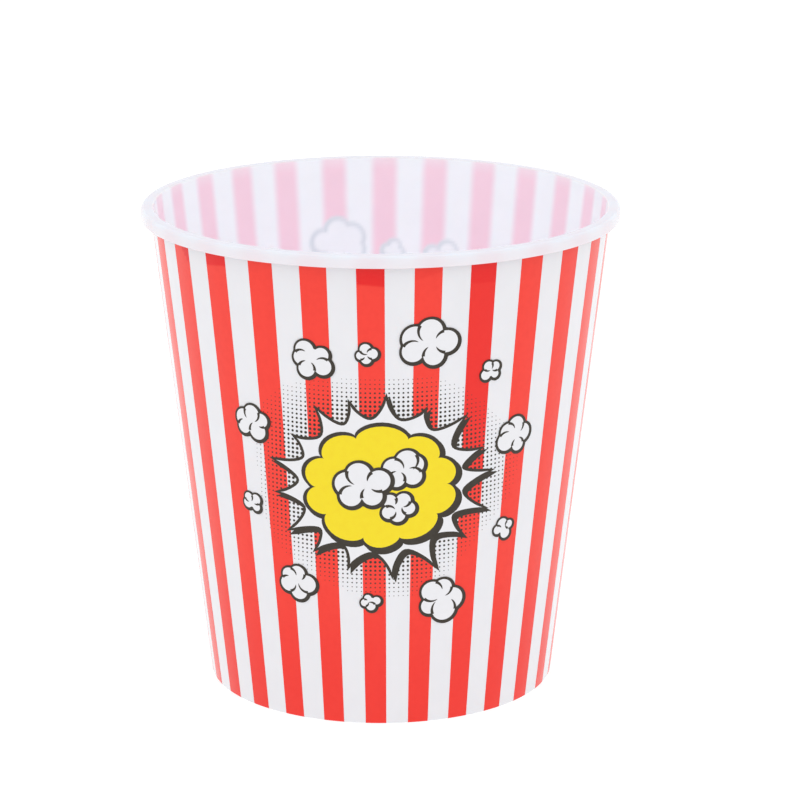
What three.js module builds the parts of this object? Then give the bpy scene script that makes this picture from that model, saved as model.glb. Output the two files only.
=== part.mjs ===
import * as THREE from "three";

// An empty popcorn bucket, injection moulded in one piece: a tapered, thin-walled plastic cup
// that is open at the top, with a flanged lip and a shallow foot ring round a raised floor.
// Millimetres, +Z up. The origin is the centre of the foot ring, on the surface it stands on.
// The printed front faces -Y.

// Driving dimensions
const height = 183.7; // foot ring to the top of the lip
const lipOuterRadius = 90; // widest part of the bucket
const wallTopRadius = 86.6; // outer face of the wall, carried up to the top of the lip
const wallFootRadius = 65.7; // outer face of the wall, carried down to the foot
const wallThickness = 1.3; // wall and lip
const floorThickness = 1.6;
const floorRecess = 2.4; // height of the floor's underside above the foot ring's face
const footRingWidth = 3.2; // flat face that the bucket rests on
const footRingSlope = 0.9; // draft of the recess's side wall, as a change of radius
const footEdgeRadius = 0.8; // rounding where the foot turns up into the wall
const floorFilletRadius = 4; // rounding between the floor and the wall inside
const lipHeight = 4.6; // top of the lip to the end of its turned-down skirt
const lipOuterEdgeRadius = 1.6; // rounding of the lip's outer top edge
const lipInnerEdgeRadius = 0.7; // rounding of the lip's inner top edge

// Smoothness of the turned surface
const segmentsRound = 96; // flats round the bucket
const stepsInEdge = 3; // steps in a small rounding
const stepsInFillet = 4; // steps in the fillet and in the lip's outer edge

const taper = Math.atan2(wallTopRadius - wallFootRadius, height); // the wall's lean from upright

// Radius of the wall's outer face, and of its inner face, at height z.
function outerWallRadius(z) {
  return wallFootRadius + z * Math.tan(taper);
}

function innerWallRadius(z) {
  return outerWallRadius(z) - wallThickness / Math.cos(taper);
}

// Points along a circular arc in the profile's plane, from one angle to another.
function arc(centreRadius, centreHeight, radius, startAngle, endAngle, steps) {
  return Array.from({ length: steps + 1 }, (_, i) => {
    const angle = startAngle + ((endAngle - startAngle) * i) / steps;
    return new THREE.Vector2(
      centreRadius + radius * Math.cos(angle),
      centreHeight + radius * Math.sin(angle),
    );
  });
}

// Centre of a rounding that touches a level line and one face of the wall: the radius at which a
// circle of the given radius, centred at the given height, just touches that face from inside.
function centreInsideWall(faceRadius, centreHeight, radius) {
  return faceRadius(centreHeight) - radius / Math.cos(taper);
}

// The underside: the recessed floor, the side of the recess and the foot ring's flat face.
function undersideProfile() {
  const ringInnerRadius = wallFootRadius - footEdgeRadius - footRingWidth;
  return [
    new THREE.Vector2(0, floorRecess),
    new THREE.Vector2(ringInnerRadius - footRingSlope, floorRecess),
    new THREE.Vector2(ringInnerRadius, 0),
  ];
}

// The foot's outer edge, which turns up into the leaning wall.
function footEdgeProfile() {
  const centreRadius = centreInsideWall(outerWallRadius, footEdgeRadius, footEdgeRadius);
  return arc(centreRadius, footEdgeRadius, footEdgeRadius, -Math.PI / 2, -taper, stepsInEdge);
}

// The lip: out under the flange, down inside the skirt, round its end, up and over the top.
function lipProfile() {
  const flangeUnderside = height - wallThickness;
  const skirtInnerRadius = lipOuterRadius - wallThickness;
  const skirtEndRadius = wallThickness / 2;
  const skirtEndHeight = height - lipHeight + skirtEndRadius;
  return [
    new THREE.Vector2(outerWallRadius(flangeUnderside), flangeUnderside),
    new THREE.Vector2(skirtInnerRadius, flangeUnderside),
    ...arc(lipOuterRadius - skirtEndRadius, skirtEndHeight, skirtEndRadius, -Math.PI, 0, stepsInEdge),
    ...arc(
      lipOuterRadius - lipOuterEdgeRadius,
      height - lipOuterEdgeRadius,
      lipOuterEdgeRadius,
      0,
      Math.PI / 2,
      stepsInFillet,
    ),
  ];
}

// The lip's inner edge, which turns down into the inner face of the wall.
function mouthEdgeProfile() {
  const centreHeight = height - lipInnerEdgeRadius;
  const centreRadius = innerWallRadius(centreHeight) + lipInnerEdgeRadius / Math.cos(taper);
  return arc(centreRadius, centreHeight, lipInnerEdgeRadius, Math.PI / 2, Math.PI - taper, stepsInEdge);
}

// The fillet at the bottom of the inner wall, and the floor inside.
function insideFloorProfile() {
  const floorTop = floorRecess + floorThickness;
  const centreHeight = floorTop + floorFilletRadius;
  const centreRadius = centreInsideWall(innerWallRadius, centreHeight, floorFilletRadius);
  return [
    ...arc(centreRadius, centreHeight, floorFilletRadius, -taper, -Math.PI / 2, stepsInFillet),
    new THREE.Vector2(0, floorTop),
  ];
}

function makeBucket() {
  const profile = [
    ...undersideProfile(),
    ...footEdgeProfile(),
    ...lipProfile(),
    ...mouthEdgeProfile(),
    ...insideFloorProfile(),
  ];
  const geometry = new THREE.LatheGeometry(profile, segmentsRound);
  const material = new THREE.MeshStandardMaterial({ color: 0xf1f0f8, roughness: 0.22, metalness: 0 });
  const bucket = new THREE.Mesh(geometry, material);
  bucket.name = "bucket";
  bucket.rotation.x = Math.PI / 2; // the lathe turns about Y; the bucket stands along Z
  return bucket;
}

const part = new THREE.Group();
part.add(makeBucket());

export default part;
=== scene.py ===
import math

import bpy
import numpy as np
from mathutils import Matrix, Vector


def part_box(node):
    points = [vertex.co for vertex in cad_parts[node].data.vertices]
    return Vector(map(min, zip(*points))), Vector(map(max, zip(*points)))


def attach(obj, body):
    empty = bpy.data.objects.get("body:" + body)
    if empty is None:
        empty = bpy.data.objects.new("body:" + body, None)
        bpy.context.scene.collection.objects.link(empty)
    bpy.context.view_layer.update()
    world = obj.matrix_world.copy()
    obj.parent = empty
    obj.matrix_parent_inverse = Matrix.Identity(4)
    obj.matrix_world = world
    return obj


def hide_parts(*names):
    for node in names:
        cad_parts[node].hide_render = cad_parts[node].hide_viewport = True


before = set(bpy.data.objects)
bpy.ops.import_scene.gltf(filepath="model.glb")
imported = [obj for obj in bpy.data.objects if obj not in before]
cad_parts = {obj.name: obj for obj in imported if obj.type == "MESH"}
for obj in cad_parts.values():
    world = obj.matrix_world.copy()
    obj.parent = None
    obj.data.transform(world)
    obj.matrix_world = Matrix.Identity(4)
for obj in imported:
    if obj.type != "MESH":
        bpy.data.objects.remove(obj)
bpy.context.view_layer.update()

mm = 0.001
tau = 2 * math.pi

# The bucket's shape, which everything else sits on. Its height and its lip's radius come from the frame.
low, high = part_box("bucket")
bucket = {
    "height": high[2] - low[2],
    "lipRadius": (high[0] - low[0]) / 2,
    "wallTopRadius": 86.6 * mm,  # outer face of the wall, carried up to the top of the lip
    "wallFootRadius": 65.7 * mm,  # the same face, carried down to the foot
    "wallThickness": 1.3 * mm,
    "floorThickness": 1.6 * mm,
    "floorRecess": 2.4 * mm,
    "footRingWidth": 3.2 * mm,
    "footRingSlope": 0.9 * mm,
    "footEdgeRadius": 0.8 * mm,
    "floorFilletRadius": 4 * mm,
    "lipHeight": 4.6 * mm,
    "lipOuterEdgeRadius": 1.6 * mm,
    "lipInnerEdgeRadius": 0.7 * mm,
    "gateRadius": 4.2 * mm,  # the shallow dimple under the floor where the plastic was let in
    "gateDepth": 0.4 * mm,
    "gateLevel": 0.8,  # share of its radius over which the dimple is level
    "gateReach": (0.1, 1.1),  # shares of its radius between which its rows lie
    "stubRadius": 0.9 * mm,  # the cut-off stub in the middle of the dimple
    "stubHeight": 0.3 * mm,
    "stubLevel": 0.6,
    "columns": 436,
    "closeness": 0.3,  # how much closer together the columns are at the two printed faces
    "printedHeights": (38 * mm, 163 * mm),  # the stretch of the inner wall with rows close together
    "printedRows": 122,
    "plainRows": 5,  # above and below that stretch
}
lean = math.atan2(bucket["wallTopRadius"] - bucket["wallFootRadius"], bucket["height"])


def outerWallRadius(z):
    # the wall is a cone: the foot's radius plus the height times the tangent of its lean
    return bucket["wallFootRadius"] + z * math.tan(lean)


def innerWallRadius(z):
    # the outer cone less the wall's thickness, measured level
    return outerWallRadius(z) - bucket["wallThickness"] / math.cos(lean)


def arcPoints(centre, radius, startAngle, endAngle, steps):
    # a circle's arc in the profile's plane: centre plus radius times cosine and sine of the angle
    angle = np.linspace(startAngle, endAngle, steps + 1)
    return np.stack([centre[0] + radius * np.cos(angle), centre[1] + radius * np.sin(angle)], -1)


def linePoints(start, end, steps):
    # evenly spaced points from just after the start up to the end
    share = np.linspace(0, 1, steps + 1)[1:, None]
    return (1 - share) * np.array(start) + share * np.array(end)


def smoothStep(value, start, end):
    # 0 up to the start, 1 from the end, and between them 3 s squared less 2 s cubed of the way s
    share = np.clip((value - start) / (end - start), 0, 1)
    return share * share * (3 - 2 * share)


def closedRoundFaces(items, rows, spokes):
    # Each item is a pole, then rings with as many points as there are spokes, then a second pole.
    # Quads join neighbouring rings, and a fan of triangles joins each pole to its ring.
    ring = np.arange(spokes)
    following = (ring + 1) % spokes
    firstRow = 1 + ring[None, :] + spokes * np.arange(rows - 1)[:, None]
    firstNext = 1 + following[None, :] + spokes * np.arange(rows - 1)[:, None]
    quads = np.stack([firstRow, firstNext, firstNext + spokes, firstRow + spokes], -1).reshape(-1, 4)
    lastRing = 1 + spokes * (rows - 1)
    lastPole = 1 + spokes * rows
    startFan = np.stack([np.zeros_like(ring), 1 + following, 1 + ring], -1)
    endFan = np.stack([np.full_like(ring, lastPole), lastRing + ring, lastRing + following], -1)
    step = (lastPole + 1) * np.arange(items)[:, None, None]
    tris = np.concatenate([startFan, endFan])
    return (quads[None] + step).reshape(-1, 4), (tris[None] + step).reshape(-1, 3)


def closedRound(rings, startPole, endPole):
    # a closed round mesh for each item: rings is items x rows x spokes x 3, and each pole items x 3
    items, rows, spokes = rings.shape[:3]
    points = np.concatenate([startPole[:, None], rings.reshape(items, -1, 3), endPole[:, None]], 1)
    quads, tris = closedRoundFaces(items, rows, spokes)
    return points.reshape(-1, 3), quads, tris


def closedSlab(top, bottom):
    # a thin closed plate for each item: two grids, items x across x along x 3, joined at their borders
    items, across, along = top.shape[:3]
    size = across * along
    points = np.concatenate([top.reshape(items, size, 3), bottom.reshape(items, size, 3)], 1)
    index = np.arange(size).reshape(across, along)

    def facesOf(a, b, c, d):
        # the four corners of each face, from a grid or a row of each corner
        return np.stack([a, b, c, d], -1).reshape(-1, 4)

    front = facesOf(index[:-1, :-1], index[1:, :-1], index[1:, 1:], index[:-1, 1:])
    back = front[:, ::-1] + size
    lowSide = facesOf(index[:-1, 0], index[:-1, 0] + size, index[1:, 0] + size, index[1:, 0])
    highSide = facesOf(index[1:, -1], index[1:, -1] + size, index[:-1, -1] + size, index[:-1, -1])
    leftSide = facesOf(index[0, 1:], index[0, 1:] + size, index[0, :-1] + size, index[0, :-1])
    rightSide = facesOf(index[-1, :-1], index[-1, :-1] + size, index[-1, 1:] + size, index[-1, 1:])
    quads = np.concatenate([front, back, lowSide, highSide, leftSide, rightSide])
    step = 2 * size * np.arange(items)[:, None, None]
    return points.reshape(-1, 3), (quads[None] + step).reshape(-1, 4), np.zeros((0, 3), int)


def splitShort(points, quads, tris):
    # each four-sided face as two triangles that share its shorter diagonal
    a, b, c, d = (points[quads[:, corner]] for corner in range(4))
    firstIsShort = (((a - c) ** 2).sum(1) < ((b - d) ** 2).sum(1))[:, None]
    lower = np.where(firstIsShort, quads[:, [0, 1, 2]], quads[:, [0, 1, 3]])
    upper = np.where(firstIsShort, quads[:, [0, 2, 3]], quads[:, [1, 2, 3]])
    return points, np.zeros((0, 4), int), np.concatenate([lower, upper, tris])


def joined(parts):
    # several sets of points and faces as one, each set's faces moved past the points before it
    start = 0
    points, quads, tris = [], [], []
    for somePoints, someQuads, someTris in parts:
        points.append(somePoints)
        quads.append(someQuads + start)
        tris.append(someTris + start)
        start += len(somePoints)
    return np.concatenate(points), np.concatenate(quads), np.concatenate(tris)


sharpAngle = math.radians(35)  # an edge that turns by more is shaded as an edge


def makePiece(name, shape, material, bakeMap=None):
    # a mesh from whole arrays, as a piece that rides with the bucket and has one of its finishes
    points, quads, tris = shape
    mesh = bpy.data.meshes.new(name)
    mesh.vertices.add(len(points))
    mesh.vertices.foreach_set("co", points.astype(np.float32).ravel())
    corners = np.concatenate([quads.ravel(), tris.ravel()]).astype(np.int32)
    sizes = np.concatenate([np.full(len(quads), 4), np.full(len(tris), 3)]).astype(np.int32)
    mesh.loops.add(len(corners))
    mesh.loops.foreach_set("vertex_index", corners)
    mesh.polygons.add(len(sizes))
    starts = (np.cumsum(sizes) - sizes).astype(np.int32)
    mesh.polygons.foreach_set("loop_start", starts)
    mesh.polygons.foreach_set("use_smooth", np.ones(len(sizes), bool))
    if bakeMap is not None:
        mesh.uv_layers.new(name="OFBake").uv.foreach_set("vector", bakeMap.astype(np.float32).ravel())
    mesh.update(calc_edges=True)
    mesh.validate()
    mesh.set_sharp_from_angle(angle=sharpAngle)
    mesh.materials.append(material)
    piece = bpy.data.objects.new(name, mesh)
    bpy.context.scene.collection.objects.link(piece)
    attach(piece, "root")
    print(f"{name}: {len(quads) * 2 + len(tris)} triangles")
    return piece


def addAttribute(piece, name, values):
    # one number for each of the mesh's points, which a material can read by its name
    attribute = piece.data.attributes.new(name, "FLOAT", "POINT")
    attribute.data.foreach_set("value", values.astype(np.float32).ravel())


def newMaterial(name, lightBending, roughness):
    # both numbers go on the shader's own sockets
    material = bpy.data.materials.new(name)
    material.use_nodes = True
    shader = material.node_tree.nodes["Principled BSDF"]
    shader.inputs["IOR"].default_value = lightBending
    shader.inputs["Roughness"].default_value = roughness
    return material, shader


def addNode(material, kind, **settings):
    # each setting names a property of the node, or one of its inputs with _ for a space
    node = material.node_tree.nodes.new("ShaderNode" + kind)
    for name, value in settings.items():
        if hasattr(node, name):
            setattr(node, name, value)
        else:
            node.inputs[name.replace("_", " ")].default_value = value
    return node


def connect(material, output, target):
    # a wire from one node's output to another's input
    material.node_tree.links.new(output, target)


def readAttribute(material, name):
    # the number that addAttribute gave each point
    return addNode(material, "Attribute", attribute_name=name).outputs["Fac"]


def calculate(material, operation, first, second):
    # one Math node; each term is a number or another node's output
    node = addNode(material, "Math", operation=operation)
    for socket, term in zip(node.inputs, (first, second)):
        if isinstance(term, (int, float)):
            socket.default_value = term
        else:
            connect(material, term, socket)
    return node.outputs[0]


def spread(material, value, fromLow, fromHigh, toLow, toHigh):
    # one range of values mapped smoothly to another
    node = addNode(material, "MapRange", interpolation_type="SMOOTHSTEP")
    connect(material, value, node.inputs["Value"])
    ends = {"From Min": fromLow, "From Max": fromHigh, "To Min": toLow, "To Max": toHigh}
    for name, number in ends.items():
        node.inputs[name].default_value = number
    return node.outputs["Result"]


def blended(material, share, first, second):
    # a colour that goes from the first to the second by the share; each is a value or an output
    node = addNode(material, "Mix", data_type="RGBA")
    sockets = [socket for socket in node.inputs if socket.enabled]  # the share, then the two colours
    for socket, term in zip(sockets, (share, first, second)):
        if isinstance(term, bpy.types.NodeSocket):
            connect(material, term, socket)
        elif isinstance(term, (int, float)):
            socket.default_value = term
        else:
            socket.default_value = (*term, 1)
    return next(socket for socket in node.outputs if socket.enabled)


def noiseOf(material, width, detail):
    # noise whose bumps are about as wide as the width given in metres
    place = addNode(material, "TexCoord")
    noise = addNode(material, "TexNoise", Scale=1 / width, Detail=detail)
    connect(material, place.outputs["Object"], noise.inputs["Vector"])
    return noise.outputs["Fac"]


usualNoise = (0.3, 0.7)  # nearly all of a noise's values lie between these

mouldedSurface = {
    "waveWidth": 34 * mm,
    "waveHeight": 0.05 * mm,
    "peelWidth": 1.6 * mm,
    "peelHeight": 0.0015 * mm,
    "reliefDetail": 1.0,
    "polishWidth": 22 * mm,
    "polishDetail": 2.0,
    "roughness": (0.16, 0.24),
}


def addMouldedSurface(material, shader):
    # slow waves of a thin moulded wall, over them the fine orange peel of its gloss, and uneven polish
    normal = None
    for relief in ("wave", "peel"):
        bump = addNode(material, "Bump", Strength=1.0, Distance=mouldedSurface[relief + "Height"])
        height = noiseOf(material, mouldedSurface[relief + "Width"], mouldedSurface["reliefDetail"])
        connect(material, height, bump.inputs["Height"])
        if normal is not None:
            connect(material, normal, bump.inputs["Normal"])
        normal = bump.outputs["Normal"]
    connect(material, normal, shader.inputs["Normal"])
    polish = noiseOf(material, mouldedSurface["polishWidth"], mouldedSurface["polishDetail"])
    polish = spread(material, polish, *usualNoise, *mouldedSurface["roughness"])
    connect(material, polish, shader.inputs["Roughness"])


whitePlastic = {
    "outside": (0.772, 0.772, 0.802),  # the plastic's own white; the next four are lit and shaded copies of it
    # painted light: the inside is whiter, for the light that the thin wall lets through
    "inside": (0.89, 0.935, 0.98),
    # painted shading on the lip: its skirt pinker, its rounded edge bluer, its flat top darker and bluer
    "lipSkirt": (0.795, 0.765, 0.808),
    "lipEdge": (0.782, 0.81, 0.875),
    "lipTop": (0.724, 0.732, 0.816),
    "pink": (0.928, 0.672, 0.775),  # red print seen through the wall
    "lipPink": (0.81, 0.48, 0.54),  # and through the lip
    "greyBlue": (0.70, 0.765, 0.82),  # dark print seen through the wall
    "paleYellow": (0.90, 0.86, 0.66),  # yellow print seen through the wall
    "pinkEdge": (-0.5, 0.7),  # between these values of the stripe wave the pink comes in softly
    "mottleWidth": 9 * mm,
    "mottleDetail": 2.0,
    "mottle": 0.015,  # how much darker its darkest clouds are
    "mottleColour": (0.0, 0.0, 0.0),
    "scatter": 0.15,
    "scatterColours": (1.0, 0.8, 0.7),  # red light spreads furthest in the plastic
    "scatterDistance": 1.2 * mm,
    "lightBending": 1.42,
}


def makeWhitePlastic(look):
    # White plastic that lets through some of the print on its other side. The print is laid on in
    # steps: pink for the stripes, then grey-blue for the dark outlines, then pale yellow.
    meanRoughness = np.mean(mouldedSurface["roughness"])
    material, shader = newMaterial("whitePlastic", look["lightBending"], meanRoughness)
    inside = readAttribute(material, "inside")
    behind = readAttribute(material, "printBehind")
    cover = readAttribute(material, "cover")
    # the lip's painted shading: a ramp of lit and shaded whites of the one plastic
    lip = addNode(material, "ValToRGB")
    connect(material, readAttribute(material, "lip"), lip.inputs["Fac"])
    stops = lip.color_ramp.elements
    whites = [(*look[name], 1) for name in ("outside", "lipSkirt", "lipEdge", "lipTop")]
    stops[0].color, stops[1].color = whites[0], whites[-1]
    for number in range(1, len(whites) - 1):
        stops.new(number / (len(whites) - 1)).color = whites[number]
    # painted light: the inside's white is whiter than the outside's
    base = blended(material, inside, lip.outputs["Color"], look["inside"])
    uncovered = calculate(material, "SUBTRACT", 1, cover)
    wave = spread(material, readAttribute(material, "stripeWave"), *look["pinkEdge"], 0, 1)
    pinkShare = calculate(material, "MULTIPLY", calculate(material, "MULTIPLY", wave, uncovered), behind)
    pink = blended(material, inside, look["lipPink"], look["pink"])
    base = blended(material, pinkShare, base, pink)
    inkShare = calculate(material, "MULTIPLY", readAttribute(material, "ink"), behind)
    base = blended(material, inkShare, base, look["greyBlue"])
    yellowShare = calculate(material, "MULTIPLY", readAttribute(material, "yellow"), behind)
    base = blended(material, yellowShare, base, look["paleYellow"])
    clouds = noiseOf(material, look["mottleWidth"], look["mottleDetail"])
    mottle = spread(material, clouds, *usualNoise, 0, look["mottle"])
    base = blended(material, mottle, base, look["mottleColour"])
    connect(material, base, shader.inputs["Base Color"])
    shader.inputs["Subsurface Weight"].default_value = look["scatter"]
    shader.inputs["Subsurface Radius"].default_value = look["scatterColours"]
    shader.inputs["Subsurface Scale"].default_value = look["scatterDistance"]
    addMouldedSurface(material, shader)
    return material


inks = {
    "red": {"colour": (0.872, 0.040, 0.023), "worn": (0.845, 0.036, 0.021)},
    "white": {"colour": (0.78, 0.78, 0.81), "worn": (0.765, 0.765, 0.79)},
    "yellow": {"colour": (0.852, 0.675, 0.006), "worn": (0.84, 0.65, 0.005)},
    "dark": {"colour": (0.028, 0.021, 0.0125), "worn": (0.036, 0.029, 0.0205)},
}
inkFilm = {
    "speckWidth": 2.4 * mm,
    "speckDetail": 4.0,
    "speckEdge": (0.35, 0.75),  # between these values of the noise the worn colour comes in
    "lightBending": 1.42,
    "shadedRed": (0.76, 0.0, 0.0),  # painted shade: the red it goes to under the lip and towards the foot
}


def makeInk(name):
    # a film of one colour that is a little uneven, under the same moulded gloss
    meanRoughness = np.mean(mouldedSurface["roughness"])
    material, shader = newMaterial(name + "Ink", inkFilm["lightBending"], meanRoughness)
    specks = noiseOf(material, inkFilm["speckWidth"], inkFilm["speckDetail"])
    uneven = spread(material, specks, *inkFilm["speckEdge"], 0, 1)
    colour = blended(material, uneven, inks[name]["colour"], inks[name]["worn"])
    # painted shade: the red darkens under the lip and towards the foot, by the number each point keeps
    if name == "red":
        colour = blended(material, readAttribute(material, "paintedShade"), colour, inkFilm["shadedRed"])
    connect(material, colour, shader.inputs["Base Color"])
    addMouldedSurface(material, shader)
    return material


plasticMaterial = makeWhitePlastic(whitePlastic)
inkMaterials = {name: makeInk(name) for name in inks}
print("materials ready")

# The stripes' layout on the wall.
stripes = {
    "count": 26,
    "redShare": 0.486,
    "turn": -0.044,  # radians from the front's middle to the middle of its red stripe
    "drift": 0.025,  # radians that the stripes have moved by the time they reach the back
    "footDrift": 0.014,  # radians that they move sideways on the way down to the foot
    "footDriftFrom": -0.21,  # the angle at which they move most
    "lift": 0.02 * mm,  # the film's upper side above the wall
    "sunk": 0.05 * mm,  # and its under side below it
    "columns": 9,
    "footWrap": math.radians(55),  # how far the print runs on round the foot's edge
    "wrapRows": 5,
    "topGap": 1.45 * mm,  # from the print's upper edge to the top of the lip
    "wallRows": 24,
    "upperPart": 15 * mm,  # the stretch below the lip with rows close together
    "upperRows": 34,
}
stripePitch = tau / stripes["count"]


def stripeShift(angle, z):
    # a fixed turn, a drift that grows to the back, and a slow sway to both sides that grows to the foot
    sway = np.cos(2 * (angle - stripes["footDriftFrom"])) * (1 - z / bucket["height"])
    return stripes["turn"] + stripes["drift"] * (1 - np.cos(angle)) / 2 + stripes["footDrift"] * sway


def stripeWave(angle, z):
    # the cosine of the place within a stripe's pitch: 1 in the middle of red, -1 in the middle of white
    return np.cos(tau * (angle - stripeShift(angle, z)) / stripePitch)


# The artwork is drawn flat, in metres from its middle, and rolled round the wall.
artwork = {
    "middleHeight": 96.5 * mm,
    "faces": (0.0, math.pi),  # angles of the two prints, front and back
    "sunk": 0.05 * mm,
    "cell": 2.2 * mm,  # longest step across a printed shape, so that it follows the round wall
    "fewestRings": 2,
    "longestCorner": 2.6,  # a sharp corner moves out by at most this many times the growth
}
tipToMiddle = outerWallRadius(artwork["middleHeight"]) / math.sin(lean)


def rolledOnWall(x, y, lift, face):
    # A flat drawing rolled round the cone: a point keeps its distance from the cone's tip, and its
    # angle about the tip, divided by the sine of the lean, is its angle about the bucket's axis.
    fromTip = np.hypot(x, tipToMiddle + y)
    angle = face + np.arctan2(x, tipToMiddle + y) / math.sin(lean)
    radius = fromTip * math.sin(lean) + lift * math.cos(lean)
    z = artwork["middleHeight"] + (fromTip - tipToMiddle) * math.cos(lean) - lift * math.sin(lean)
    return np.stack([radius * np.sin(angle), -radius * np.cos(angle), z], -1)


def unrolled(angle, z, face):
    # the way back, from an angle and a height to the flat drawing
    turned = ((angle - face + math.pi) % tau - math.pi) * math.sin(lean)
    fromTip = tipToMiddle + (z - artwork["middleHeight"]) / math.cos(lean)
    return fromTip * np.sin(turned), fromTip * np.cos(turned) - tipToMiddle


def grownOutline(x, y, grow):
    # Every corner moves along the sum of its two edges' normals, so that both edges move out by the
    # growth. Each outline can be seen whole from its own middle, before and after.
    edgeX, edgeY = np.roll(x, -1) - x, np.roll(y, -1) - y
    edgeLength = np.hypot(edgeX, edgeY)
    normalX, normalY = edgeY / edgeLength, -edgeX / edgeLength
    beforeX, beforeY = np.roll(normalX, 1), np.roll(normalY, 1)
    square = 1 + normalX * beforeX + normalY * beforeY
    moveX, moveY = (normalX + beforeX) / square, (normalY + beforeY) / square
    capped = np.minimum(1, artwork["longestCorner"] / np.hypot(moveX, moveY))
    return x + grow * capped * moveX, y + grow * capped * moveY


def burstOutline(burst, grow=0.0):
    # A star with curved hollows: from one point to the next the radius falls to the valley's and rises
    # again as a power of the sine of the way between them, and each point has its own length and place.
    # Puffed, it is a cloud instead: from one valley to the next the radius rises and falls like that,
    # and the cloud grows by its two half sizes.
    # The spokes come closer together towards the points, as the shadow of an even circle's spokes does.
    points, spokes = burst["points"], burst["spokesPerPoint"]
    which = np.repeat(np.arange(points), spokes)
    share = np.tile((1 - np.cos(math.pi * np.arange(spokes) / spokes)) / 2, points)
    rng = np.random.default_rng(burst["seed"])
    reach = 1 + burst["unevenReach"] * rng.uniform(-1, 1, points)
    place = np.arange(points) + burst["unevenPlace"] * rng.uniform(-1, 1, points)
    reach = np.append(reach, reach[0])
    place = np.append(place, place[0] + points)
    angle = tau / points * ((1 - share) * place[which] + share * place[which + 1])
    tip = (1 - share) * reach[which] + share * reach[which + 1]
    bow = np.sin(math.pi * share) ** burst["bowPower"]
    radius = tip - (tip - burst["valley"]) * (1 - bow if burst["puffed"] else bow)
    wider = grow if burst["puffed"] else 0
    x = burst["middle"][0] + (burst["halfWidth"] + wider) * radius * np.cos(angle)
    y = burst["middle"][1] + (burst["halfHeight"] + wider) * radius * np.sin(angle)
    return (x, y) if burst["puffed"] else grownOutline(x, y, grow)


whiteBurst = {
    "middle": (0, -1 * mm),
    "halfWidth": 38.5 * mm,
    "halfHeight": 33 * mm,
    "points": 17,
    "spokesPerPoint": 14,
    "valley": 0.79,
    "bowPower": 0.62,
    "puffed": False,
    "unevenReach": 0.07,
    "unevenPlace": 0.14,
    "seed": 4,
    "line": 1.1 * mm,
    "shadow": (1.2 * mm, -1.35 * mm),
    "lifts": (0.07 * mm, 0.10 * mm, 0.13 * mm),  # of the line's shadow, the line and the fill
}
yellowCloud = {
    "middle": (0, -1.5 * mm),
    "halfWidth": 28 * mm,
    "halfHeight": 23.7 * mm,
    "points": 10,
    "spokesPerPoint": 16,
    "valley": 0.86,
    "bowPower": 0.6,
    "puffed": True,
    "unevenReach": 0.03,
    "unevenPlace": 0.16,
    "seed": 9,
    "line": 1.55 * mm,
    "shadow": (1.1 * mm, -1.2 * mm),
    "lifts": (0.17 * mm, 0.19 * mm, 0.22 * mm),
}

flakeLook = {
    "spokes": 96,
    "lobeTurn": (-0.2, 0.2),  # how far a lobe is from its even place, as a share of the lobes' spacing
    "lobeAway": (0.48, 0.64),  # its middle's distance from the flake's, as a share of the flake's size
    "lobeRadius": (0.34, 0.5),
    "middleRadius": 0.5,
    "flatness": 0.85,  # how much less the lobes spread up and down than sideways
    "shadow": (0.28 * mm, -0.3 * mm),
    "growth": (1.1, 0.8),  # of the line's shadow and of the line, in line widths
    "lifts": (0.25 * mm, 0.27 * mm, 0.30 * mm),  # of the line's shadow, the line and the fill
    "curlLift": 0.33 * mm,
    "curlSeed": 100,  # added to the flake's own seed
    "curlOwnLobe": 0.5,  # chance that a curl follows the first of its two lobes
    "curlSteps": 10,
    "curlStart": -0.12,  # radians along the lobe, from where the two lobes meet
    "curlSweep": (0.9, 1.6),  # radians that a curl follows its lobe
    "curlWidth": 0.55,  # half its width at the start, in line widths
    "curlTaper": 0.6,  # power of the way left, by which it gets thinner
    "thinnest": 0.04 * mm,
}


def makeFlake(x, y, size, lobes, turn, seed, line, raised=0.0):
    # the lengths are given in millimetres and the turn in degrees
    return {
        "middle": (x * mm, y * mm),
        "size": size * mm,
        "lobes": lobes,
        "turn": math.radians(turn),
        "seed": seed,
        "line": line * mm,
        "raised": raised * mm,
    }


# three in the cloud, the last of them over the other two, and eleven round the burst
flakes = [
    makeFlake(8.5, 5.5, 8.2, 5, 20, 31, 1.15),
    makeFlake(6, -9.2, 7, 5, 60, 33, 1.15),
    makeFlake(-7, -0.5, 10.4, 5, 30, 11, 1.25, raised=0.13),
    makeFlake(17, 54, 10.5, 5, 10, 11, 1.1),
    makeFlake(-25, 47, 8, 5, 40, 12, 1.0),
    makeFlake(-5, 50, 4, 4, 0, 13, 0.85),
    makeFlake(41, 40, 4.2, 4, 30, 14, 0.85),
    makeFlake(52, 12, 7.5, 5, 0, 15, 1.0),
    makeFlake(48, -24, 4.5, 4, 20, 16, 0.85),
    makeFlake(22, -47, 9, 5, 70, 17, 1.05),
    makeFlake(-4, -47, 3.6, 4, 20, 18, 0.8),
    makeFlake(-32, -42, 7, 5, 0, 19, 1.0),
    makeFlake(-51, -14, 4.4, 4, 45, 20, 0.85),
    makeFlake(-50, 18, 7.2, 5, 15, 21, 1.0),
]


def lobesOf(flake):
    # unequal round lobes set round a middle one, all drawn from the flake's own seed
    rng = np.random.default_rng(flake["seed"])
    count = flake["lobes"]
    place = np.arange(count) + rng.uniform(*flakeLook["lobeTurn"], count)
    angle = flake["turn"] + tau / count * place
    away = flake["size"] * rng.uniform(*flakeLook["lobeAway"], count)
    radius = flake["size"] * rng.uniform(*flakeLook["lobeRadius"], count)
    x = np.append(away * np.cos(angle), 0) + flake["middle"][0]
    y = np.append(away * np.sin(angle) * flakeLook["flatness"], 0) + flake["middle"][1]
    return x, y, np.append(radius, flakeLook["middleRadius"] * flake["size"])


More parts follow.
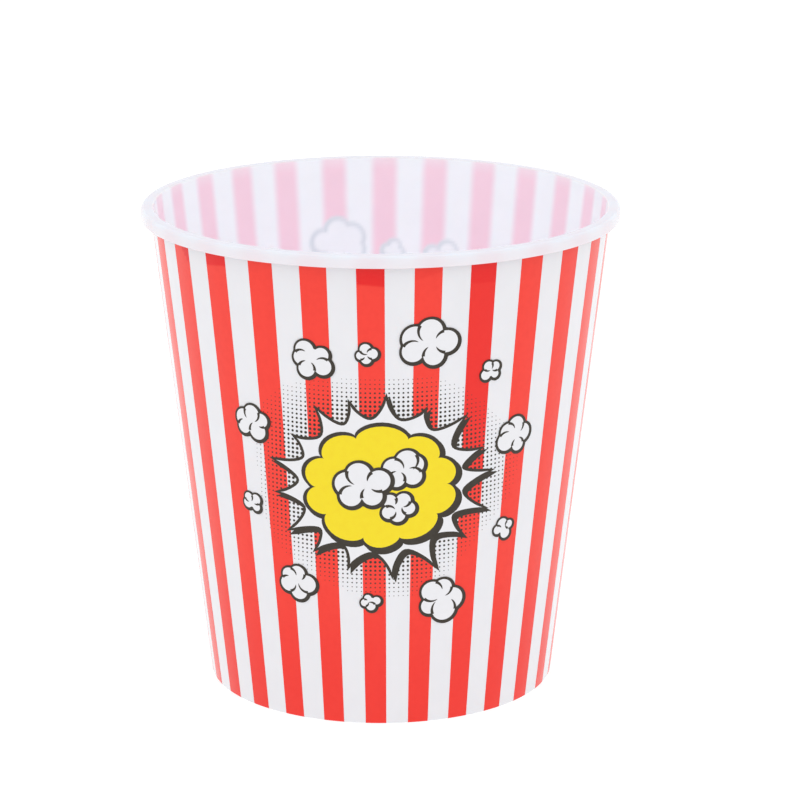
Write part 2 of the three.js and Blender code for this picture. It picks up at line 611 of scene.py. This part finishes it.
def flakeOutline(flake, grow=0.0):
    # the furthest that any lobe reaches along each ray from the flake's middle
    lobeX, lobeY, lobeRadius = lobesOf(flake)
    angle = tau * np.arange(flakeLook["spokes"]) / flakeLook["spokes"]
    towardsX, towardsY = np.cos(angle)[:, None], np.sin(angle)[:, None]
    fromX, fromY = lobeX - flake["middle"][0], lobeY - flake["middle"][1]
    along = fromX * towardsX + fromY * towardsY
    beside = fromX * towardsY - fromY * towardsX
    reach = (lobeRadius + grow) ** 2 - beside**2
    radius = np.where(reach > 0, along + np.sqrt(np.maximum(reach, 0)), 0).max(1)
    return flake["middle"][0] + radius * np.cos(angle), flake["middle"][1] + radius * np.sin(angle)


def flakeCurls(flake):
    # Where two neighbouring lobes meet, one lobe's circle is followed on inwards by a stroke that
    # tapers away. Returns the left and right border of each stroke, curls x 2 x steps.
    lobeX, lobeY, lobeRadius = (values[:-1] for values in lobesOf(flake))
    nextX, nextY, nextRadius = (np.roll(values, -1) for values in (lobeX, lobeY, lobeRadius))
    gapX, gapY = nextX - lobeX, nextY - lobeY
    gap = np.hypot(gapX, gapY)
    # the circles cross at the foot of their common chord, plus or minus half the chord
    foot = (lobeRadius**2 - nextRadius**2 + gap**2) / (2 * gap)
    half = np.sqrt(np.maximum(lobeRadius**2 - foot**2, 0))
    crossX = lobeX + (foot * gapX + half * gapY) / gap
    crossY = lobeY + (foot * gapY - half * gapX) / gap
    rng = np.random.default_rng(flake["seed"] + flakeLook["curlSeed"])
    first = rng.random(len(gap)) < flakeLook["curlOwnLobe"]
    sweep = rng.uniform(*flakeLook["curlSweep"], len(gap))[:, None]
    way = np.where(first, 1, -1)[:, None]
    middleX, middleY = np.where(first, lobeX, nextX)[:, None], np.where(first, lobeY, nextY)[:, None]
    radius = np.where(first, lobeRadius, nextRadius)[:, None]
    start = np.arctan2(crossY[:, None] - middleY, crossX[:, None] - middleX)
    share = np.linspace(0, 1, flakeLook["curlSteps"])[None]
    angle = start + way * (flakeLook["curlStart"] + sweep * share)
    taper = (1 - share) ** flakeLook["curlTaper"]
    halfWidth = flakeLook["curlWidth"] * flake["line"] * taper + flakeLook["thinnest"] / 2
    borders = np.stack([radius - way * halfWidth, radius + way * halfWidth], 1)
    x = middleX[:, None] + borders * np.cos(angle)[:, None]
    y = middleY[:, None] + borders * np.sin(angle)[:, None]
    meeting = half > 0
    return x[meeting], y[meeting]


def shifted(outline, move):
    # the whole outline moved sideways and up
    return outline[0] + move[0], outline[1] + move[1]


def layersOf(linePiece, fillPiece, fillInk, outlines, middle, lifts):
    # three printed shapes: the line's shadow and the line, which are one piece, and the fill
    pieces = linePiece, linePiece, fillPiece
    colours = "dark", "dark", fillInk
    return [
        {"ink": ink, "piece": piece, "outline": outline, "middle": middle, "lift": lift}
        for ink, piece, outline, lift in zip(colours, pieces, outlines, lifts)
    ]


def burstLayers(burst, name, fillInk):
    # the line is the burst grown by the line's width, and the shadow is the line moved aside
    line = burstOutline(burst, burst["line"])
    outlines = shifted(line, burst["shadow"]), line, burstOutline(burst)
    return layersOf(name + "Line", name + "Fill", fillInk, outlines, burst["middle"], burst["lifts"])


def flakeLayers(flake):
    # the same for a flake, whose shadow is grown by its own amount
    shadow, line = (flakeOutline(flake, growth * flake["line"]) for growth in flakeLook["growth"])
    outlines = shifted(shadow, flakeLook["shadow"]), line, flakeOutline(flake)
    lifts = [lift + flake["raised"] for lift in flakeLook["lifts"]]
    return layersOf("flakeLines", "flakeFills", "white", outlines, flake["middle"], lifts)


# in the order of printing, each colour lying on the one before
printLayers = burstLayers(whiteBurst, "whiteBurst", "white")
printLayers += burstLayers(yellowCloud, "yellowCloud", "yellow")
for flake in flakes:
    printLayers += flakeLayers(flake)

halftone = {
    "field": 60 * mm,  # half the width of the square that the dots are laid out in
    "pitch": 1.7 * mm,
    "largest": 0.62 * mm,
    "smallest": 0.14 * mm,
    "start": 0.80,  # share of the white burst's half sizes, where the dots are largest
    "fade": 0.66,  # further out by this share they have shrunk away
    "fadePower": 1.15,
    "waves": ((0.12, 3, 0.6), (0.09, 5, 2.0)),  # in how far they reach: size, number and turn
    "hidden": 1 * mm,  # dots further than this inside the burst's line are left out
    "spokes": 8,
    "lift": 0.045 * mm,
}


def halftoneRadius(x, y):
    # The dots shrink as a power of the distance out from the start, over a reach that goes up and
    # down in waves round the burst.
    x, y = x / whiteBurst["halfWidth"], y / whiteBurst["halfHeight"]
    angle = np.arctan2(y, x)
    reach = 1 + sum(size * np.sin(number * angle + turn) for size, number, turn in halftone["waves"])
    out = np.clip((np.hypot(x, y) - halftone["start"]) / (halftone["fade"] * reach), 0, 1)
    return halftone["largest"] * (1 - out ** halftone["fadePower"])


def shareInside(x, y, shape, blur):
    # How far inside an outline a point is, along its ray from the middle and shortened by the
    # outline's slant there, turned into a share that goes from 0 to 1 over the blur.
    fromX, fromY = shape["outline"][0] - shape["middle"][0], shape["outline"][1] - shape["middle"][1]
    turn = np.arctan2(fromY, fromX)
    order = np.argsort(turn)
    turn, reach = turn[order], np.hypot(fromX, fromY)[order]
    rise = (np.roll(reach, -1) - np.roll(reach, 1)) / ((np.roll(turn, -1) - np.roll(turn, 1)) % tau)
    slant = np.sqrt(1 + (rise / reach) ** 2)
    pointTurn = np.arctan2(y - shape["middle"][1], x - shape["middle"][0])
    reachThere = np.interp(pointTurn, turn, reach, period=tau)
    slantThere = np.interp(pointTurn, turn, slant, period=tau)
    depth = (reachThere - np.hypot(x - shape["middle"][0], y - shape["middle"][1])) / slantThere
    return smoothStep(depth, -blur, blur)


def printedShape(shape, face):
    # A thin closed film: the outline shrunk towards its middle in even steps, below and then above.
    outlineX, outlineY = shape["outline"]
    middle = shape["middle"]
    reach = np.hypot(outlineX - middle[0], outlineY - middle[1]).max()
    rings = max(artwork["fewestRings"], math.ceil(reach / artwork["cell"]))
    share = np.arange(1, rings + 1) / rings
    share = np.concatenate([share, share[::-1]])[:, None]
    heights = np.repeat([-artwork["sunk"], shape["lift"]], rings)[:, None] + 0 * outlineX[None, :]
    x = middle[0] + share * (outlineX - middle[0])
    y = middle[1] + share * (outlineY - middle[1])
    rows = rolledOnWall(x, y, heights, face)[None]
    poleX, poleY = np.array([middle[0]]), np.array([middle[1]])
    startPole = rolledOnWall(poleX, poleY, -artwork["sunk"], face)
    endPole = rolledOnWall(poleX, poleY, shape["lift"], face)
    return splitShort(*closedRound(rows, startPole, endPole))


def makePrintPieces():
    # one piece for each name in the layers, with both prints' shapes
    inkOf = {shape["piece"]: shape["ink"] for shape in printLayers}
    for name, ink in inkOf.items():
        shapes = [
            printedShape(shape, face)
            for face in artwork["faces"]
            for shape in printLayers
            if shape["piece"] == name
        ]
        makePiece(name, joined(shapes), inkMaterials[ink])


def makeCurls():
    # the strokes between the flakes' lobes, as thin plates on top of the fills
    parts = []
    for face in artwork["faces"]:
        for flake in flakes:
            x, y = flakeCurls(flake)
            top = rolledOnWall(x, y, flakeLook["curlLift"] + flake["raised"], face)
            parts.append(closedSlab(top, rolledOnWall(x, y, -artwork["sunk"], face)))
    makePiece("flakeCurls", joined(parts), inkMaterials["dark"])


def makeHalftone():
    # a square grid of dots, whose rows lie level
    across = np.arange(-halftone["field"], halftone["field"], halftone["pitch"])
    x, y = (values.ravel() for values in np.meshgrid(across, across))
    radius = halftoneRadius(x, y)
    burstLine = printLayers[1]  # the first layer is the line's shadow
    hidden = shareInside(x, y, burstLine, halftone["hidden"]) == 1
    shown = (radius > halftone["smallest"]) & ~hidden
    x, y, radius = x[shown], y[shown], radius[shown]
    angle = tau * np.arange(halftone["spokes"]) / halftone["spokes"]
    dotX = x[:, None] + radius[:, None] * np.cos(angle)
    dotY = y[:, None] + radius[:, None] * np.sin(angle)
    parts = []
    for face in artwork["faces"]:
        lower = rolledOnWall(dotX, dotY, -artwork["sunk"], face)
        upper = rolledOnWall(dotX, dotY, halftone["lift"], face)
        parts.append(closedRound(
            np.stack([lower, upper], 1),
            rolledOnWall(x, y, -artwork["sunk"], face),
            rolledOnWall(x, y, halftone["lift"], face),
        ))
    makePiece("halftoneDots", joined(parts), inkMaterials["dark"])


# Painted shade below the lip, where some stripes are painted a darker red. Stripes are counted to the
# right from the front's middle one: how far the painted shade reaches down from the skirt's end, how
# much further down it reaches at the stripe's right edge than at its left one, how strong it is there,
# and how strong it still is below that, down to where it fades away.
shadingUnderLip = {
    0: (7.1 * mm, 0.9 * mm, 1.0, 0),
    1: (4 * mm, -3 * mm, 0.2, 0),
    2: (8.2 * mm, 0.6 * mm, 0.92, 0.62),
    -3: (5.2 * mm, -1.2 * mm, 1.0, 0),
    -4: (1.6 * mm, 13 * mm, 1.0, 0),
    7: (6 * mm, 1 * mm, 0.8, 0),
    9: (4 * mm, -2 * mm, 0.6, 0.2),
    12: (9 * mm, 2 * mm, 0.7, 0),
    -7: (5 * mm, -1 * mm, 0.9, 0),
    -10: (7 * mm, 1.5 * mm, 0.6, 0.3),
}
# How the painted shade spreads on the stripes, under the lip and towards the foot.
shadingSpread = {
    "softness": 0.45 * mm,
    "stir": 0.1,  # how uneven it is from point to point
    "stirSeed": 6,
    "fade": (75 * mm, 125 * mm),  # heights between which what goes on below the edge fades away
    "foot": 0.32,  # how strong the painted shade is at the foot of every stripe
    "footFade": (15 * mm, 65 * mm),
}


def stripePath(offset):
    # the wall's outer profile moved out by the offset: the foot's edge, then the wall up to the lip
    centreRadius = outerWallRadius(bucket["footEdgeRadius"]) - bucket["footEdgeRadius"] / math.cos(lean)
    centre = (centreRadius, bucket["footEdgeRadius"])
    wrapped = -lean - stripes["footWrap"]
    edge = arcPoints(centre, bucket["footEdgeRadius"] + offset, wrapped, -lean, stripes["wrapRows"])
    start = bucket["footEdgeRadius"] * (1 - math.sin(lean))
    top = bucket["height"] - stripes["topGap"]
    upper = top - stripes["upperPart"]
    lower = np.linspace(start, upper, stripes["wallRows"], endpoint=False)[1:]
    heights = np.concatenate([lower, np.linspace(upper, top, stripes["upperRows"])])
    wallRadius = outerWallRadius(heights) + offset * math.cos(lean)
    return np.concatenate([edge, np.stack([wallRadius, heights - offset * math.sin(lean)], -1)])


def makeStripes():
    # Each stripe is a film between two paths down the wall, moved sideways by the stripes' shift at
    # each angle and height. Its painted shade is kept as one number for each point.
    across = np.linspace(-0.5, 0.5, stripes["columns"])
    which = np.arange(stripes["count"])
    even = ((which[:, None] + stripes["redShare"] * across) * stripePitch)[:, :, None]

    def turned(path):
        # the path carried round to every even angle and shifted there: stripes x across x along x 3
        z = path[:, 1] + 0 * even
        angle = even + stripeShift(even, z)
        return np.stack([path[:, 0] * np.sin(angle), -path[:, 0] * np.cos(angle), z], -1)

    top = turned(stripePath(stripes["lift"]))
    bottom = turned(stripePath(-stripes["sunk"]))
    piece = makePiece("redStripes", closedSlab(top, bottom), inkMaterials["red"])
    patches = np.zeros((stripes["count"], 4))  # a negative number counts back from the last stripe
    for number, patch in shadingUnderLip.items():
        patches[number] = patch
    reach, slant, strength, rest = (values[:, None, None] for values in patches.T)
    lowerEdge = bucket["height"] - bucket["lipHeight"] - reach - slant * across[None, :, None]
    height, softness = top[..., 2], shadingSpread["softness"]
    rise = smoothStep(height, lowerEdge - softness, lowerEdge + softness)
    rng = np.random.default_rng(shadingSpread["stirSeed"])
    streaks = 1 - shadingSpread["stir"] * rng.random(rise.shape)
    paintedShade = np.maximum(strength * rise * streaks, rest * smoothStep(height, *shadingSpread["fade"]))
    # and all stripes take a painted contact shadow, darker towards the foot
    paintedShade = np.maximum(paintedShade, shadingSpread["foot"] * (1 - smoothStep(height, *shadingSpread["footFade"])))
    bothSides = np.stack([paintedShade, paintedShade], 1)  # the film's upper and under side
    addAttribute(piece, "paintedShade", bothSides)


def undersideHeight(radius):
    # the raised floor's underside, with a shallow round dimple and a stub in the middle of it
    gate, stub = bucket["gateRadius"], bucket["stubRadius"]
    dimpleShare = 1 - smoothStep(radius, bucket["gateLevel"] * gate, gate)
    stubShare = 1 - smoothStep(radius, bucket["stubLevel"] * stub, stub)
    return bucket["floorRecess"] + bucket["gateDepth"] * dimpleShare - bucket["stubHeight"] * stubShare


# how many steps each stretch of the body's profile has
profileSteps = {
    "gate": 11,
    "underside": 5,
    "footEdge": 6,
    "outerWall": 10,
    "flange": 2,
    "skirt": 8,
    "outerEdge": 9,
    "lipTop": 4,
    "innerEdge": 6,
    "fillet": 7,
    "floor": 5,
}


def bodyProfile():
    # Radius and height of every row, from under the floor out, up the outside and down the inside.
    steps = profileSteps
    height, wall = bucket["height"], bucket["wallThickness"]
    ringInner = bucket["wallFootRadius"] - bucket["footEdgeRadius"] - bucket["footRingWidth"]
    recessEdge = ringInner - bucket["footRingSlope"]
    gateRadii = np.linspace(*bucket["gateReach"], steps["gate"] + 1) * bucket["gateRadius"]
    outerRadii = np.linspace(gateRadii[-1], recessEdge, steps["underside"] + 1)[1:]
    radii = np.concatenate([gateRadii, outerRadii])
    underside = np.stack([radii, undersideHeight(radii)], -1)
    footRadius = outerWallRadius(bucket["footEdgeRadius"]) - bucket["footEdgeRadius"] / math.cos(lean)
    footCentre = (footRadius, bucket["footEdgeRadius"])
    footEdge = arcPoints(footCentre, bucket["footEdgeRadius"], -math.pi / 2, -lean, steps["footEdge"])
    flange = height - wall
    outerTop = (outerWallRadius(flange), flange)
    outerWall = linePoints(footEdge[-1], outerTop, steps["outerWall"])
    skirtInner = bucket["lipRadius"] - wall
    flangeUnder = linePoints(outerTop, (skirtInner, flange), steps["flange"])
    skirtEnd = (bucket["lipRadius"] - wall / 2, height - bucket["lipHeight"] + wall / 2)
    skirtArc = arcPoints(skirtEnd, wall / 2, -math.pi, 0, steps["skirt"])
    edge = bucket["lipOuterEdgeRadius"]
    outerCentre = (bucket["lipRadius"] - edge, height - edge)
    outerEdge = arcPoints(outerCentre, edge, 0, math.pi / 2, steps["outerEdge"])
    edge = bucket["lipInnerEdgeRadius"]
    innerCentre = (innerWallRadius(height - edge) + edge / math.cos(lean), height - edge)
    innerEdge = arcPoints(innerCentre, edge, math.pi / 2, math.pi - lean, steps["innerEdge"])
    lipTop = linePoints(outerEdge[-1], innerEdge[0], steps["lipTop"])[:-1]
    floorTop = bucket["floorRecess"] + bucket["floorThickness"]
    fillet = bucket["floorFilletRadius"]
    filletHeight = floorTop + fillet
    filletCentre = (innerWallRadius(filletHeight) - fillet / math.cos(lean), filletHeight)
    filletArc = arcPoints(filletCentre, fillet, -lean, -math.pi / 2, steps["fillet"])
    lowest, highest = ((innerWallRadius(z), z) for z in bucket["printedHeights"])
    innerWall = np.concatenate([
        linePoints(innerEdge[-1], highest, bucket["plainRows"]),
        linePoints(highest, lowest, bucket["printedRows"]),
        linePoints(lowest, filletArc[0], bucket["plainRows"])[:-1],
    ])
    floor = linePoints(filletArc[-1], (0, floorTop), steps["floor"])[:-1]
    outside = np.concatenate([
        underside, [(ringInner, 0)], footEdge, outerWall, flangeUnder, skirtArc, outerEdge, lipTop,
    ])
    inside = np.concatenate([innerEdge, innerWall, filletArc, floor])
    poles = (0, undersideHeight(0)), (0, floorTop)
    return outside, inside, poles


# The lip's painted shading by the depth below its top. The places are in the material's ramp, where
# 0 is the outside's white, 1/3 the skirt's, 2/3 the edge's and 1 the flat top's.
lipShades = {
    "depths": (0.02 * mm, 0.12 * mm, 0.6 * mm, 2.2 * mm),
    "places": (1.0, 0.7, 0.6, 1 / 3),
}

# How the print shows through the wall, where 1 is its full colour there.
showThrough = {
    "blur": 1.35 * mm,
    "line": 1.25,  # the dark lines show more strongly by this factor, up to 1
    "haze": 0.45,  # and the dots as a haze of this share of the wall that they cover
    "near": 70 * mm,  # a print is looked for this far sideways from its middle
    "floorGap": 1 * mm,  # it starts to show this far above the floor
    "rimDepth": 2.2 * mm,  # and fades over this height below the top of the lip
    "rim": 0.7,  # what is left of it at the lip's inner edge
    "lip": 0.11,  # on the lip's flat top
    "skirt": 0.145,  # and on its skirt
    "skirtFrom": 0.6 * mm,  # depth below the top at which the skirt begins
    "lipSoftness": 0.55,  # how much flatter the stripe wave is there, which blurs the stripes' edges
    "skirtWidth": 0.99,  # in wall thicknesses: this near the lip's outer face a point is on the lip
    "topDepth": 0.03 * mm,  # and this near its top
}


def showThroughOf(angle, z):
    # Both prints as they show through the wall, painted in the order of printing: how far the
    # stripes are covered, how much dark ink there is and how much yellow.
    cover, ink, yellow = np.zeros(angle.shape), np.zeros(angle.shape), np.zeros(angle.shape)
    for face in artwork["faces"]:
        x, y = unrolled(angle, z, face)
        near = np.abs(x) < showThrough["near"]
        dotShare = math.pi * halftoneRadius(x, y) ** 2 / halftone["pitch"] ** 2
        ink = np.where(near, showThrough["haze"] * dotShare, ink)
        for shape in printLayers:
            share = shareInside(x, y, shape, showThrough["blur"]) * near
            ink = ink + share * ((shape["ink"] == "dark") - ink)
            yellow = yellow + share * ((shape["ink"] == "yellow") - yellow)
            cover = np.maximum(cover, share)
    return cover, np.clip(showThrough["line"] * ink, 0, 1), yellow


def bakeMapOf(profile, poles, columns):
    # The map that the materials are baked on: the way round the axis by the way along the profile.
    # It follows the order of the mesh's faces: the quads ring by ring, then the two poles' fans.
    steps = np.hypot(*np.diff(np.concatenate([poles[:1], profile, poles[1:]]), axis=0).T)
    along = np.concatenate([[0], np.cumsum(steps)]) / steps.sum()
    rows, around = np.arange(1, len(profile)), np.arange(columns)
    row, column = (values.ravel() for values in np.meshgrid(rows, around, indexing="ij"))
    quadU = np.stack([column, column + 1, column + 1, column], -1)
    quadV = along[np.stack([row, row, row + 1, row + 1], -1)]
    startU = np.stack([around + 0.5, around + 1, around], -1)
    endU = np.stack([around + 0.5, around, around + 1], -1)
    startV = np.tile(along[[0, 1, 1]], (columns, 1))
    endV = np.tile(along[[-1, -2, -2]], (columns, 1))
    mapU = np.concatenate([values.ravel() for values in (quadU, startU, endU)]) / columns
    mapV = np.concatenate([values.ravel() for values in (quadV, startV, endV)])
    return np.stack([mapU, mapV], -1)


def markBody(piece, angle, radius, z, outerRows):
    # What the white plastic's material reads at each point: whether it is inside, where its white is
    # painted lighter, which painted shade of the lip it has, what is printed on the wall's other side
    # and how strongly that shows through.
    def mark(name, values, endPole=0):
        # the rings' points and the two poles, whose first one is outside
        addAttribute(piece, name, np.concatenate([[0], values.ravel(), [endPole]]))

    height = bucket["height"]
    innerRow = np.arange(len(z))[:, None] - outerRows
    isInside = innerRow >= 0
    # from 0 on the outer faces to 1 on the inner ones, over the rows of the lip's inner edge
    insideShare = smoothStep(innerRow, 1, profileSteps["innerEdge"] + 1) + 0 * z
    isLip = radius > bucket["lipRadius"] - showThrough["skirtWidth"] * bucket["wallThickness"]
    isLip = isLip | (z > height - showThrough["topDepth"])
    rim, lip, skirt = showThrough["rim"], showThrough["lip"], showThrough["skirt"]
    onWall = 1 - (1 - rim) * smoothStep(z, height - showThrough["rimDepth"], height)
    aboveFloor = z - bucket["floorRecess"] - bucket["floorThickness"]
    onWall = onWall * smoothStep(aboveFloor, showThrough["floorGap"], bucket["floorFilletRadius"])
    onLip = lip + (skirt - lip) * smoothStep(height - z, 0, showThrough["skirtFrom"])
    wave = stripeWave(angle, z) * np.where(isLip & ~isInside, showThrough["lipSoftness"], 1)
    cover, ink, yellow = showThroughOf(angle, z)
    mark("inside", insideShare, endPole=1)
    mark("lip", isLip * np.interp(height - z, lipShades["depths"], lipShades["places"]))
    mark("printBehind", np.where(isInside, lip + (onWall - lip) * insideShare, onLip * isLip))
    mark("stripeWave", wave)
    mark("cover", cover * isInside)
    mark("ink", ink * isInside)
    mark("yellow", yellow * isInside)


def makeBody():
    # the profile turned round the axis, with its columns closer together at the two printed faces
    outside, inside, poles = bodyProfile()
    profile = np.concatenate([outside, inside])
    even = tau * np.arange(bucket["columns"]) / bucket["columns"]
    angle = even - bucket["closeness"] / 2 * np.sin(2 * even)
    radius, z = profile[:, :1], profile[:, 1:] + 0 * angle
    rings = np.stack([radius * np.sin(angle), -radius * np.cos(angle), z], -1)[None]
    startPole, endPole = (np.array([[0, 0, pole[1]]]) for pole in poles)
    shape = closedRound(rings, startPole, endPole)
    bakeMap = bakeMapOf(profile, poles, bucket["columns"])
    piece = makePiece("bucketBody", shape, plasticMaterial, bakeMap)
    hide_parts("bucket")
    markBody(piece, angle + 0 * z, radius, z, len(outside))


makeBody()
print("body ready")
makeStripes()
makeHalftone()
makePrintPieces()
makeCurls()
print("print ready")

view = {
    "lens": 150,
    "sensor": 36,
    "clipEnd": 50,
    "place": (0, -1.2264, 0.44845),
    "pitch": 0.2719,  # radians down from level
    "yaw": 0.0059,  # radians to the right
}


def makeCamera():
    # the lens and the sensor are in millimetres, and a camera that isn't turned looks straight down
    camera = bpy.data.cameras.new("camera")
    camera.lens = view["lens"]
    camera.sensor_width = view["sensor"]
    camera.clip_end = view["clipEnd"]
    cameraObject = bpy.data.objects.new("camera", camera)
    cameraObject.location = view["place"]
    cameraObject.rotation_euler = (math.pi / 2 - view["pitch"], 0, -view["yaw"])
    bpy.context.scene.collection.objects.link(cameraObject)
    bpy.context.scene.camera = cameraObject


studio = {
    "white": (1, 1, 1, 1),
    "surroundings": 1.05,
    "overheadHeight": 1.5,
    "overheadSize": 1.4,
    "overheadPower": 1.5,
    "lampHeight": 105 * mm,  # inside the bucket, for the light that its thin wall lets through
    "lampRadius": 40 * mm,
    "lampPower": 0.046,
    "floorHalfSize": 6.0,
    "floorColour": (0.26, 0.26, 0.26, 1),
    "floorRoughness": 0.9,
    "floorLightBending": 1.45,
    "floorGlow": 0.85,  # the floor's own light, as on a light table
}


def makeFloor():
    # one large square, dull and pale
    half = studio["floorHalfSize"]
    mesh = bpy.data.meshes.new("floor")
    corners = [(-half, -half, 0), (half, -half, 0), (half, half, 0), (-half, half, 0)]
    mesh.from_pydata(corners, [], [(0, 1, 2, 3)])
    floor = bpy.data.objects.new("floor", mesh)
    bpy.context.scene.collection.objects.link(floor)
    material, shader = newMaterial("paleFloor", studio["floorLightBending"], studio["floorRoughness"])
    shader.inputs["Specular IOR Level"].default_value = 0
    shader.inputs["Base Color"].default_value = studio["floorColour"]
    shader.inputs["Emission Color"].default_value = studio["white"]
    shader.inputs["Emission Strength"].default_value = studio["floorGlow"]
    mesh.materials.append(material)


def makeLight():
    # even white light from all round, a large soft lamp overhead, and a weak lamp inside the bucket
    world = bpy.data.worlds.new("studio")
    world.use_nodes = True
    background = world.node_tree.nodes["Background"]
    background.inputs["Color"].default_value = studio["white"]
    background.inputs["Strength"].default_value = studio["surroundings"]
    bpy.context.scene.world = world
    overhead = bpy.data.lights.new("overhead", "AREA")
    overhead.shape = "DISK"
    overhead.size = studio["overheadSize"]
    overhead.energy = studio["overheadPower"]
    lamp = bpy.data.lights.new("lamp", "POINT")
    lamp.shadow_soft_size = studio["lampRadius"]
    lamp.energy = studio["lampPower"]
    lamp.specular_factor = 0
    for light, height in ((overhead, studio["overheadHeight"]), (lamp, studio["lampHeight"])):
        lightObject = bpy.data.objects.new(light.name, light)
        lightObject.location = (0, 0, height)
        lightObject.visible_camera = False
        bpy.context.scene.collection.objects.link(lightObject)


makeCamera()
makeFloor()
makeLight()
bpy.context.scene.view_settings.view_transform = "Standard"
print("studio ready")
